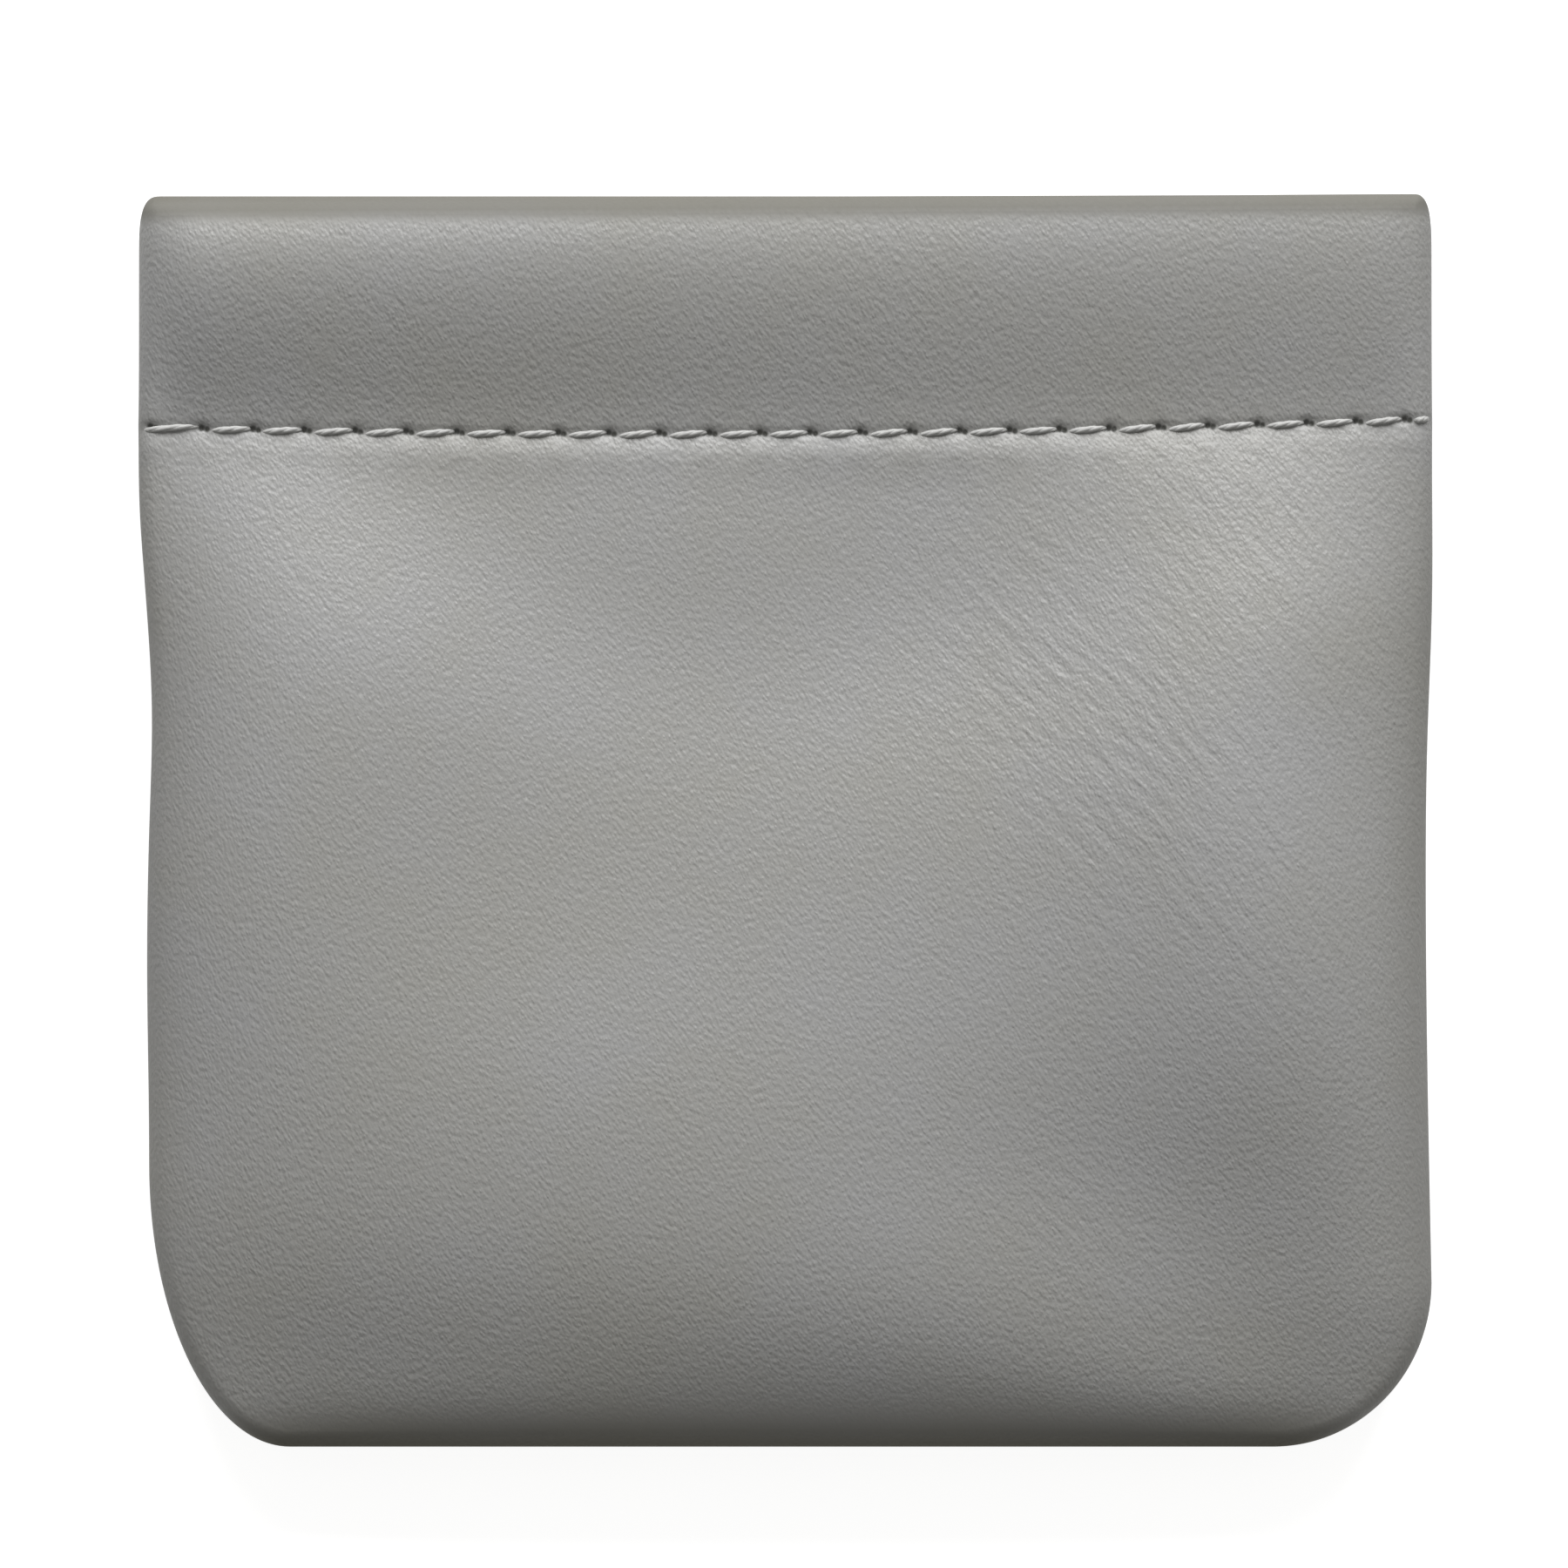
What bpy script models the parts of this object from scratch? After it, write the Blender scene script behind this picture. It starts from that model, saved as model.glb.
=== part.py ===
"""A self-closing cosmetic pouch in soft coated leather, lying on its back.

Two leather panels are sewn together round the sides and the bottom and turned
right side out, so their raw edges lie inside. The top of each panel is folded
inwards and sewn down in one row of long stitches. That hem is a channel, and in
each channel lies a strip of spring steel, arched across its width like the blade
of a tape measure, which keeps the mouth shut until its two ends are squeezed.

X runs across the mouth, Y from the bottom seam to the mouth, Z up from the table.
The origin is on the table under the middle of the pouch.
"""

from math import cos, exp, pi, radians, sin, sqrt

import bmesh
import bpy
from mathutils import Matrix, Vector

MM = 0.001

# Overall sizes
POUCH_WIDTH = 110.0 * MM
POUCH_HEIGHT = 106.4 * MM
BELLY_RISE = 6.5 * MM

# Materials and the gap between pieces that touch
LEATHER = 1.0 * MM
LINING = 0.4 * MM
CLEARANCE = 0.3 * MM

# Outline: the half-axes of each rounded corner, and how far the side edges are drawn in
LEFT_CORNER = Vector((12.0 * MM, 24.0 * MM))
RIGHT_CORNER = Vector((13.5 * MM, 14.0 * MM))
TOP_CORNER = Vector((2.2 * MM, 2.2 * MM))
LEFT_WAIST = 0.4 * MM
RIGHT_WAIST = 0.5 * MM
LEFT_FOOT = 0.9 * MM

# Turned edges, measured in from the outline
SEAM_ALLOWANCE = 5.5 * MM
STITCH_DEPTH = 19.4 * MM
STITCH_SAG = 0.9 * MM
HEM_MARGIN = 3.6 * MM
LINING_INSET = 2.8 * MM

# Spring strips
STRIP_THICKNESS = 0.25 * MM
STRIP_ARCH = 1.55 * MM
STRIP_END = 5.0 * MM
STRIP_TIP = 0.25
STRIP_FROM_SIDE = 7.0 * MM
STRIP_FROM_TOP = 2.8 * MM
STRIP_FROM_STITCHES = 3.6 * MM

# Sewing threads and how they lie
STITCH_LENGTH = 4.27 * MM
NEEDLE_THREAD = 0.75 * MM
BOBBIN_THREAD = 0.3 * MM
SEAM_THREAD = 0.4 * MM
STITCH_LIFT = 0.15 * MM
STITCH_SLANT = 0.13 * MM
NEEDLE_FURROW = 0.45 * MM
NEEDLE_THREAD_INSET = 1.0 * MM
BOBBIN_THREAD_INSET = 3.5 * MM
SEAM_THREAD_INSET = 2.2 * MM

# How the wall swells: the belly's highest level, and the powers of its slopes and the hem's
BELLY_PEAK = 0.3
BELLY_SIDE_POWER = 4.2
BELLY_LOW_POWER = 3.65
BELLY_HIGH_POWER = 2.0
BACK_FLATTENING = 1.7
BAND_LOW_POWER = 1.33
BAND_HIGH_POWER = 0.55
BAND_EDGE = 6.0 * MM

# Soft folds of the front: middle x and y, direction in degrees, reach along it, reach across it, rise
RIGHT_CHEEK = (46.0 * MM, -10.0 * MM, 110.0, 34.0 * MM, 15.5 * MM, 3.2 * MM)
LEFT_CHEEK = (-46.5 * MM, 2.5 * MM, 81.0, 34.0 * MM, 16.0 * MM, 2.5 * MM)
HIGH_HOLLOW = (13.5 * MM, 16.5 * MM, 11.0, 27.0 * MM, 13.5 * MM, -1.5 * MM)
SHOULDER_HOLLOW = (-34.0 * MM, 28.0 * MM, -31.0, 34.0 * MM, 10.5 * MM, -1.1 * MM)
MIDDLE_HOLLOW = (-9.0 * MM, -5.0 * MM, -4.0, 34.0 * MM, 16.0 * MM, -1.1 * MM)
RIGHT_TROUGH = (34.5 * MM, -38.0 * MM, 151.0, 26.0 * MM, 14.0 * MM, -2.0 * MM)
LEFT_TROUGH = (-34.0 * MM, -46.0 * MM, 1.0, 34.0 * MM, 12.5 * MM, -1.0 * MM)
SOFT_FOLDS = (
    RIGHT_CHEEK, LEFT_CHEEK, HIGH_HOLLOW, SHOULDER_HOLLOW, MIDDLE_HOLLOW, RIGHT_TROUGH, LEFT_TROUGH,
)
FOLD_SIDE_POWER = 8.0
FOLD_FROM_BOTTOM = 6.0 * MM
FOLD_FROM_STITCHES = 3.0 * MM

# Mesh steps
ACROSS_STEPS = 14
ACROSS_CROWDING = 0.06
CORNER_STEPS = 6
BELLY_STEPS = 10
FOLD_STEPS = 4
BAND_STEPS = (0.15, 0.4, 0.7, 1.0)
STRIP_WIDE_STEPS = 6
STRIP_LONG_STEPS = (0.3, 0.6, 0.9, 1.0)
STRIP_END_STEPS = (0.5, 0.85, 1.0)
THREAD_STEPS = 28
POINTS_PER_STITCH = 4

# Sizes that follow from the ones above
HALF_WIDTH = POUCH_WIDTH / 2
TOP = POUCH_HEIGHT / 2
BOTTOM = -POUCH_HEIGHT / 2
STITCH_Y = TOP - STITCH_DEPTH
HEM_Y = STITCH_Y - HEM_MARGIN
STRIP_LENGTH = POUCH_WIDTH - 2 * STRIP_FROM_SIDE
STRIP_WIDTH = STITCH_DEPTH - STRIP_FROM_TOP - STRIP_FROM_STITCHES
STRIP_Y = TOP - STRIP_FROM_TOP - STRIP_WIDTH / 2

# Where the hem stands highest, as a share of the way from the stitches to the mouth
BAND_CREST = BAND_LOW_POWER / (BAND_LOW_POWER + BAND_HIGH_POWER)


def band_share(y):
    """The hem's rise at height y as a share of its crest, which lies nearer the mouth than the stitches."""
    up = min(1.0, max(0.0, (y - STITCH_Y) / STITCH_DEPTH))
    return (up / BAND_CREST) ** BAND_LOW_POWER * ((1 - up) / (1 - BAND_CREST)) ** BAND_HIGH_POWER


# Heights above the plane where the two halves meet: a turned edge is two leathers with the lining between
INNER_FACE = CLEARANCE / 2
FOLD_RADIUS = LEATHER + CLEARANCE + LINING / 2
EDGE_RISE = INNER_FACE + 2 * FOLD_RADIUS
STRIP_RISE = INNER_FACE + LEATHER + CLEARANCE + STRIP_THICKNESS
BAND_RISE = (STRIP_RISE + STRIP_ARCH + CLEARANCE + LEATHER - EDGE_RISE) / band_share(STRIP_Y)
SEAM_Z = EDGE_RISE + BAND_RISE

# Furrows: the thread, its wander and a clearance
NEEDLE_GROOVE = NEEDLE_THREAD / 2 + STITCH_LIFT + CLEARANCE
BOBBIN_GROOVE = BOBBIN_THREAD / 2 + CLEARANCE
NEEDLE_RISE = EDGE_RISE + NEEDLE_GROOVE - NEEDLE_FURROW
BOBBIN_RISE = INNER_FACE + BOBBIN_THREAD / 2


def clear_scene():
    for obj in list(bpy.data.objects):
        bpy.data.objects.remove(obj, do_unlink=True)


def collection(name):
    made = bpy.data.collections.new(name)
    bpy.context.scene.collection.children.link(made)
    return made


def material(name, colour, roughness, metallic=0.0):
    made = bpy.data.materials.new(name)
    made.use_nodes = True
    shader = made.node_tree.nodes["Principled BSDF"]
    shader.inputs["Base Color"].default_value = colour
    shader.inputs["Roughness"].default_value = roughness
    shader.inputs["Metallic"].default_value = metallic
    made.diffuse_color = colour
    return made


clear_scene()
PARTS = collection("cosmetic_pouch")
CUTTERS = collection("cutters")
LEATHER_LOOK = material("grey_leather", (0.315, 0.313, 0.303, 1.0), 0.42)
LINING_LOOK = material("lining_cloth", (0.10, 0.10, 0.10, 1.0), 0.85)
STEEL_LOOK = material("spring_steel", (0.62, 0.62, 0.60, 1.0), 0.3, 1.0)
THREAD_LOOK = material("sewing_thread", (0.38, 0.39, 0.38, 1.0), 0.6)


class SideEdge:
    """One side edge of the outline, from the bottom seam round its lower corner up to the mouth."""

    def __init__(self, side, corner, waist, foot):
        self.side = side
        self.corner = corner
        self.waist = waist
        self.foot = foot
        self.corner_y = BOTTOM + corner.y

    def drawn_in(self, y):
        """How far the edge is drawn in between its lower corner and the stitches."""
        share = min(1.0, max(0.0, (y - self.corner_y) / (STITCH_Y - self.corner_y)))
        return self.foot * (1 - share) + self.waist * sin(pi * share)

    def width(self, y):
        """The distance from the middle line to the edge at height y."""
        reach = HALF_WIDTH - self.drawn_in(y)
        for corner, past in ((self.corner, self.corner_y - y), (TOP_CORNER, y - TOP + TOP_CORNER.y)):
            if past > 0:
                share = min(1.0, past / corner.y)
                reach -= corner.x * (1 - sqrt(1 - share * share))
        return reach

    def corner_station(self, centre, corner, turn, up):
        """A point of a rounded corner and its inward normal, where turn runs from the end to the side."""
        point = centre + Vector((self.side * corner.x * sin(turn), up * corner.y * cos(turn)))
        inward = Vector((-self.side * sin(turn) / corner.x, -up * cos(turn) / corner.y))
        return point, inward.normalized()

    def stations(self):
        """Points up the edge, each with its inward normal, one for each row of the panel."""
        found = []
        lower = Vector((self.side * (HALF_WIDTH - self.foot - self.corner.x), self.corner_y))
        for step in range(CORNER_STEPS + 1):
            found.append(self.corner_station(lower, self.corner, pi / 2 * step / CORNER_STEPS, -1))
        for y in self.straight_levels():
            found.append((Vector((self.side * self.width(y), y)), Vector((-self.side, 0.0))))
        upper = Vector((self.side * (HALF_WIDTH - TOP_CORNER.x), TOP - TOP_CORNER.y))
        for turn in (pi / 2, pi / 4, 0.0):
            found.append(self.corner_station(upper, TOP_CORNER, turn, 1))
        return found

    def straight_levels(self):
        """The levels between the corners, closer together at the hem."""
        rise = HEM_Y - CLEARANCE - self.corner_y
        levels = [self.corner_y + rise * step / BELLY_STEPS for step in range(1, BELLY_STEPS + 1)]
        levels += [(HEM_Y + STITCH_Y) / 2, STITCH_Y]
        levels += [STITCH_Y + (STRIP_Y - STITCH_Y) * share for share in BAND_STEPS]
        levels.append((STRIP_Y + TOP - TOP_CORNER.y) / 2)
        return levels


LEFT = SideEdge(-1, LEFT_CORNER, LEFT_WAIST, LEFT_FOOT)
RIGHT = SideEdge(1, RIGHT_CORNER, RIGHT_WAIST, 0.0)


def sag_at(x, y):
    """The hem's stitches dip towards the middle, and the leather near them follows."""
    near = (y - BOTTOM) / (STITCH_Y - BOTTOM) if y < STITCH_Y else (TOP - y) / STITCH_DEPTH
    return STITCH_SAG * max(0.0, 1 - (x / HALF_WIDTH) ** 2) * max(0.0, near)


def belly_swell(across, y):
    """The rise of the belly, none at the side seams, the bottom seam and the stitches."""
    up = (y - BOTTOM) / (STITCH_Y - BOTTOM)
    sideways = 1 - min(1.0, abs(across)) ** BELLY_SIDE_POWER
    if up < BELLY_PEAK:
        upwards = 1 - (1 - up / BELLY_PEAK) ** BELLY_LOW_POWER
    else:
        upwards = 1 - ((up - BELLY_PEAK) / (1 - BELLY_PEAK)) ** BELLY_HIGH_POWER
    return BELLY_RISE * sideways * upwards


def band_swell(across, y):
    """The rise of the hem over its spring strip, none at the sides, the mouth and the stitches."""
    from_side = min(1.0, (1 - min(1.0, abs(across))) * HALF_WIDTH / BAND_EDGE)
    return BAND_RISE * (1 - (1 - from_side) ** 2) * band_share(y)


def soft_folds(x, y, across):
    """The ridges and hollows of the front's belly, which fade out towards the seams and the stitches."""
    from_bottom = (y - BOTTOM) / FOLD_FROM_BOTTOM
    from_stitches = (STITCH_Y - y) / FOLD_FROM_STITCHES
    fading = 1 - min(1.0, abs(across)) ** FOLD_SIDE_POWER
    fading *= (1 - exp(-from_bottom * from_bottom)) * (1 - exp(-from_stitches * from_stitches))
    height = 0.0
    for middle_x, middle_y, direction, length, width, rise in SOFT_FOLDS:
        turn = radians(direction)
        along = ((x - middle_x) * cos(turn) + (y - middle_y) * sin(turn)) / length
        aside = ((y - middle_y) * cos(turn) - (x - middle_x) * sin(turn)) / width
        height += rise * exp(-along * along - aside * aside)
    return height * fading


def swell(x, y, facing):
    """How far the wall stands out beyond its turned edge. The back is pressed flat by the table."""
    across = x / (LEFT if x < 0 else RIGHT).width(y)
    if y >= STITCH_Y:
        return band_swell(across, y)
    rise = belly_swell(across, y)
    if facing > 0:
        return rise + soft_folds(x, y, across)
    share = min(1.0, rise / (BACK_FLATTENING * BAND_RISE))
    return BAND_RISE * (1 - (1 - share) ** 2)


class Panel:
    """The rows and columns that a leather panel and its lining share, seen from outside."""

    def __init__(self, facing):
        self.facing = facing
        self.left = LEFT.stations()
        self.right = RIGHT.stations()
        self.rows = len(self.left)
        self.stitch_row = CORNER_STEPS + BELLY_STEPS + 2
        evenly = [step / ACROSS_STEPS for step in range(ACROSS_STEPS + 1)]
        waves = [-cos(pi * (ACROSS_CROWDING + (1 - 2 * ACROSS_CROWDING) * share)) for share in evenly]
        self.shares = [(wave - waves[0]) / (waves[-1] - waves[0]) for wave in waves]
        self.columns = len(self.shares)

    def raised(self, point, above):
        """A place over this point of the plane between the halves, out on this panel's side."""
        return Vector((point.x, point.y, SEAM_Z + self.facing * above))

    def outline(self, column, row):
        """A point of the outline and its inward normal, for a vertex on the edge of the grid."""
        if column == 0:
            return self.left[row]
        if column == self.columns - 1:
            return self.right[row]
        point = self.left[row][0].lerp(self.right[row][0], self.shares[column])
        return point, Vector((0.0, 1.0 if row == 0 else -1.0))

    def wall(self, column, row, inset):
        """A vertex of the wall's outer surface, whose edges lie this far inside the outline."""
        start = self.left[row][0] + self.left[row][1] * inset
        end = self.right[row][0] + self.right[row][1] * inset
        return self.swollen(start.lerp(end, self.shares[column]), EDGE_RISE)

    def swollen(self, point, above):
        place = self.raised(point, above + swell(point.x, point.y, self.facing))
        place.y -= sag_at(point.x, point.y)
        return place

    def fold(self, column, row, step):
        """A vertex of the turned edge, which rolls from the wall round to the inner face."""
        point, inward = self.outline(column, row)
        turn = pi * step / FOLD_STEPS
        rolled = point + inward * FOLD_RADIUS * (1 - sin(turn))
        above = INNER_FACE + FOLD_RADIUS * (1 + cos(turn))
        if turn < pi / 2:
            return self.swollen(rolled, above)
        return self.raised(rolled, above)

    def raw_edge(self, column, row):
        """A vertex of the turned leather's raw edge, which frames the inside of the pouch."""
        point = self.outline(column, row)[0]
        across = (HALF_WIDTH - SEAM_ALLOWANCE) / HALF_WIDTH
        up = (HEM_Y - BOTTOM - SEAM_ALLOWANCE) / POUCH_HEIGHT
        framed = Vector((point.x * across, BOTTOM + SEAM_ALLOWANCE + (point.y - BOTTOM) * up))
        return self.raised(framed, INNER_FACE)


def grid_cage(columns, rows, skirt_rows=0):
    """A flat grid in whole steps, with a skirt round its edge that hangs one step for each of its rows."""
    bm = bmesh.new()
    bmesh.ops.create_grid(bm, x_segments=columns - 1, y_segments=rows - 1, size=0.5)
    bmesh.ops.translate(bm, vec=(0.5, 0.5, 0.0), verts=bm.verts)
    bmesh.ops.scale(bm, vec=(columns - 1, rows - 1, 1.0), verts=bm.verts)
    rim = [edge for edge in bm.edges if edge.is_boundary]
    for _ in range(skirt_rows):
        grown = bmesh.ops.extrude_edge_only(bm, edges=rim)["geom"]
        hanging = [item for item in grown if isinstance(item, bmesh.types.BMVert)]
        bmesh.ops.translate(bm, vec=(0.0, 0.0, -1.0), verts=hanging)
        rim = [item for item in grown if isinstance(item, bmesh.types.BMEdge) and item.is_boundary]
    bmesh.ops.recalc_face_normals(bm, faces=bm.faces)
    return bm


def sheet(name, bm, facing, thickness, depth=0.0):
    """The cage as a shell of this thickness, which starts this deep under the cage's outer side."""
    if facing < 0:
        bmesh.ops.reverse_faces(bm, faces=bm.faces)
    mesh = bpy.data.meshes.new(name)
    bm.to_mesh(mesh)
    bm.free()
    mesh.shade_smooth()
    made = bpy.data.objects.new(name, mesh)
    shell = made.modifiers.new("thickness", "SOLIDIFY")
    shell.thickness = thickness
    shell.offset = -1.0 - 2.0 * depth / thickness
    shell.use_even_offset = True
    shell.use_quality_normals = True
    return made


def leather_panel(name, panel):
    """One wall of the pouch with its hem and its seam allowance turned inside, all one piece of leather."""
    bm = grid_cage(panel.columns, panel.rows, FOLD_STEPS + 1)
    for vert in bm.verts:
        column, row, step = round(vert.co.x), round(vert.co.y), round(-vert.co.z)
        if step == 0:
            vert.co = panel.wall(column, row, FOLD_RADIUS)
        elif step <= FOLD_STEPS:
            vert.co = panel.fold(column, row, step)
        else:
            vert.co = panel.raw_edge(column, row)
    return sheet(name, bm, panel.facing, LEATHER)


def lining(name, panel):
    """The cloth inside the wall, from the seams up to the hem's stitches."""
    bm = grid_cage(panel.columns, panel.stitch_row + 1)
    for vert in bm.verts:
        vert.co = panel.wall(round(vert.co.x), round(vert.co.y), LINING_INSET)
    return sheet(name, bm, panel.facing, LINING, LEATHER + CLEARANCE)


def spring_strip(name, panel):
    """A strip of spring steel with round ends, arched outwards across its width."""
    straight = STRIP_LENGTH / 2 - STRIP_END
    ends = [straight + STRIP_END * share for share in STRIP_END_STEPS]
    lengthwise = [straight * share for share in STRIP_LONG_STEPS] + ends
    stations = [-x for x in reversed(lengthwise)] + [0.0] + lengthwise
    bm = grid_cage(len(stations), STRIP_WIDE_STEPS + 1)
    for vert in bm.verts:
        x = stations[round(vert.co.x)]
        past = max(0.0, abs(x) - straight) / STRIP_END
        narrowing = STRIP_TIP + (1 - STRIP_TIP) * sqrt(max(0.0, 1 - past * past))
        share = (2 * round(vert.co.y) / STRIP_WIDE_STEPS - 1) * narrowing
        point = Vector((x, STRIP_Y + share * STRIP_WIDTH / 2))
        vert.co = panel.raised(point, STRIP_RISE + STRIP_ARCH * (1 - share * share))
    return sheet(name, bm, panel.facing, STRIP_THICKNESS)


def thread(name, points, thickness):
    """A thread along these points, with closed ends."""
    data = bpy.data.curves.new(name, "CURVE")
    data.dimensions = "3D"
    data.bevel_depth = thickness / 2
    data.bevel_resolution = 1
    data.use_fill_caps = True
    spline = data.splines.new("POLY")
    spline.points.add(len(points) - 1)
    for place, point in zip(spline.points, points):
        place.co = (*point, 1.0)
    return bpy.data.objects.new(name, data)


def stitch_line(panel, reach, above):
    """Points along the hem's row of stitches, out to this far each way from the middle."""
    points = []
    for step in range(THREAD_STEPS + 1):
        x = reach * (2 * step / THREAD_STEPS - 1)
        points.append(panel.raised(Vector((x, STITCH_Y - sag_at(x, STITCH_Y))), above))
    return points


def needle_thread_points(panel):
    """Up out of one hole, slanting along the leather and down towards the next, for each stitch."""
    reach = HALF_WIDTH - NEEDLE_THREAD_INSET
    steps = round(2 * reach / STITCH_LENGTH) * POINTS_PER_STITCH
    points = []
    for step in range(steps + 1):
        x = reach * (2 * step / steps - 1)
        turn = 2 * pi * step / POINTS_PER_STITCH
        point = Vector((x, STITCH_Y - sag_at(x, STITCH_Y) - STITCH_SLANT * sin(turn)))
        points.append(panel.raised(point, NEEDLE_RISE - STITCH_LIFT * cos(turn)))
    return points


def seam_thread_points(panel):
    """Down one side, along the bottom and up the other, on the wrong side of the seam allowance."""
    last_row = panel.rows - 3
    outline = [panel.left[row] for row in range(last_row, -1, -1)]
    outline += [panel.outline(column, 0) for column in range(1, panel.columns - 1)]
    outline += [panel.right[row] for row in range(last_row + 1)]
    above = INNER_FACE + LEATHER + CLEARANCE + SEAM_THREAD / 2
    return [panel.raised(point + inward * SEAM_THREAD_INSET, above) for point, inward in outline]


def furrow_cutter(name, points, radius):
    """A closed tube, longer than the panel is wide, that cuts the furrow a thread is drawn into."""
    tube = thread(name + "_curve", points, radius * 2)
    CUTTERS.objects.link(tube)
    bpy.context.view_layer.update()
    graph = bpy.context.evaluated_depsgraph_get()
    mesh = bpy.data.meshes.new_from_object(tube.evaluated_get(graph))
    bm = bmesh.new()
    bm.from_mesh(mesh)
    bmesh.ops.remove_doubles(bm, verts=bm.verts, dist=0.01 * MM)
    bmesh.ops.recalc_face_normals(bm, faces=bm.faces)
    bm.to_mesh(mesh)
    bm.free()
    cutter = bpy.data.objects.new(name, mesh)
    cutter.matrix_world = tube.matrix_world
    cutter.hide_render = True
    cutter.display_type = "WIRE"
    CUTTERS.objects.link(cutter)
    bpy.data.objects.remove(tube, do_unlink=True)
    return cutter


def cut(obj, cutter):
    groove = obj.modifiers.new(cutter.name, "BOOLEAN")
    groove.operation = "DIFFERENCE"
    groove.object = cutter


def place(obj, half, look):
    """Hangs a finished piece on its half of the pouch, in its material."""
    PARTS.objects.link(obj)
    obj.parent = half
    obj.matrix_parent_inverse = Matrix.Translation(-half.location)
    obj.data.materials.append(look)


def make_half(side, facing, axis):
    """One half of the pouch, whose pieces all hang from an empty at this place."""
    half = bpy.data.objects.new(side + "_half", None)
    half.location = axis
    PARTS.objects.link(half)
    panel = Panel(facing)

    leather = leather_panel(side + "_leather_panel", panel)
    past_edge = HALF_WIDTH + BOBBIN_THREAD_INSET
    outer_furrow = stitch_line(panel, past_edge, NEEDLE_RISE)
    inner_furrow = stitch_line(panel, past_edge, BOBBIN_RISE)
    cut(leather, furrow_cutter(side + "_needle_furrow", outer_furrow, NEEDLE_GROOVE))
    cut(leather, furrow_cutter(side + "_bobbin_furrow", inner_furrow, BOBBIN_GROOVE))
    place(leather, half, LEATHER_LOOK)

    place(lining(side + "_lining", panel), half, LINING_LOOK)
    place(spring_strip(side + "_spring_strip", panel), half, STEEL_LOOK)

    bobbin_line = stitch_line(panel, HALF_WIDTH - BOBBIN_THREAD_INSET, BOBBIN_RISE)
    needle = thread(side + "_hem_needle_thread", needle_thread_points(panel), NEEDLE_THREAD)
    bobbin = thread(side + "_hem_bobbin_thread", bobbin_line, BOBBIN_THREAD)
    seam = thread(side + "_seam_thread", seam_thread_points(panel), SEAM_THREAD)
    for sewing in (needle, bobbin, seam):
        place(sewing, half, THREAD_LOOK)


# The back half lies on the table, and the front half swings open about the bottom seam
make_half("back", -1, Vector((0.0, 0.0, 0.0)))
make_half("front", 1, Vector((0.0, BOTTOM, SEAM_Z)))
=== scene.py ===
"""A small squeeze-top pouch in soft grey coated leather, lying on its back on a pale table."""

from math import cos, pi, radians, sin

import bpy
import numpy as np
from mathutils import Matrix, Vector


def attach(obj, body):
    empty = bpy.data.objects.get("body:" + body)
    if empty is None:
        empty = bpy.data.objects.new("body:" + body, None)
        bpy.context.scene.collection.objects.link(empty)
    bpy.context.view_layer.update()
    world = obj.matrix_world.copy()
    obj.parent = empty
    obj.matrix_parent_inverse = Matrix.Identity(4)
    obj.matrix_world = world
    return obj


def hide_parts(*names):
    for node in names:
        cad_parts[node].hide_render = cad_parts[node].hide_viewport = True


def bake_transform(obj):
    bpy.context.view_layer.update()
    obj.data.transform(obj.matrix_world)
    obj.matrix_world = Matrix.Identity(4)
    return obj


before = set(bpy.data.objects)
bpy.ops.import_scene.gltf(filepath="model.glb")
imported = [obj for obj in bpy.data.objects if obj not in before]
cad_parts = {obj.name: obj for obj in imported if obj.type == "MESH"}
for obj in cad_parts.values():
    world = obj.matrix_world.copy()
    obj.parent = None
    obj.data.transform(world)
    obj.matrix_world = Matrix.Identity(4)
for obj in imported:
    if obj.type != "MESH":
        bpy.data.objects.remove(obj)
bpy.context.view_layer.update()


# Leather panels, front and back.
# Each is one cut of soft coated leather: the wall, the roll of its edge and the allowance turned inside.
# The two are sewn face to face round the sides and the bottom and turned right side out.

MM = 0.001
SEAM_Z = 4.7543 * MM
HALF_WIDTH = 55.0 * MM
LEAST_WIDTH = 1.0 * MM
TOP = 53.2 * MM
BOTTOM = -53.2 * MM
STITCH_Y = 33.8 * MM
STITCH_DEPTH = TOP - STITCH_Y
STITCH_SAG = 0.9 * MM
HEM_TILT = 0.0062
TOP_CORNER_HEIGHT = 4.8 * MM
TOP_CORNER_POWER = 3

# A pull is where the seam draws a side in or lets it out: height, reach along the side, and how far in
LEFT_EDGE = {
    "side": -1,
    "corner": (12.0 * MM, 24.0 * MM),
    "top_corner": 1.9 * MM,
    "waist": 0.4 * MM,
    "foot": 0.9 * MM,
    "pulls": (
        (27 * MM, 6 * MM, -0.2 * MM),
        (10 * MM, 9 * MM, 0.38 * MM),
        (-12 * MM, 12 * MM, -0.27 * MM),
    ),
}
RIGHT_EDGE = {
    "side": 1,
    "corner": (13.5 * MM, 14.0 * MM),
    "top_corner": 1.6 * MM,
    "waist": 0.5 * MM,
    "foot": 0.0,
    "pulls": ((19 * MM, 11 * MM, -0.34 * MM),),
}

# Rows of points round a low corner, up a side, up the band and round a top corner, and beside the stitches
CORNER_ROWS, SIDE_ROWS, BAND_ROWS, TOP_ROWS = 46, 118, 25, 18
HEM_ROWS_FROM, HEM_ROWS_TO, HEM_ROW_STEP = -3.4 * MM, 2.2 * MM, 0.26 * MM


def bell(distance, width):
    return np.exp(-((distance / width) ** 2))


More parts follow.
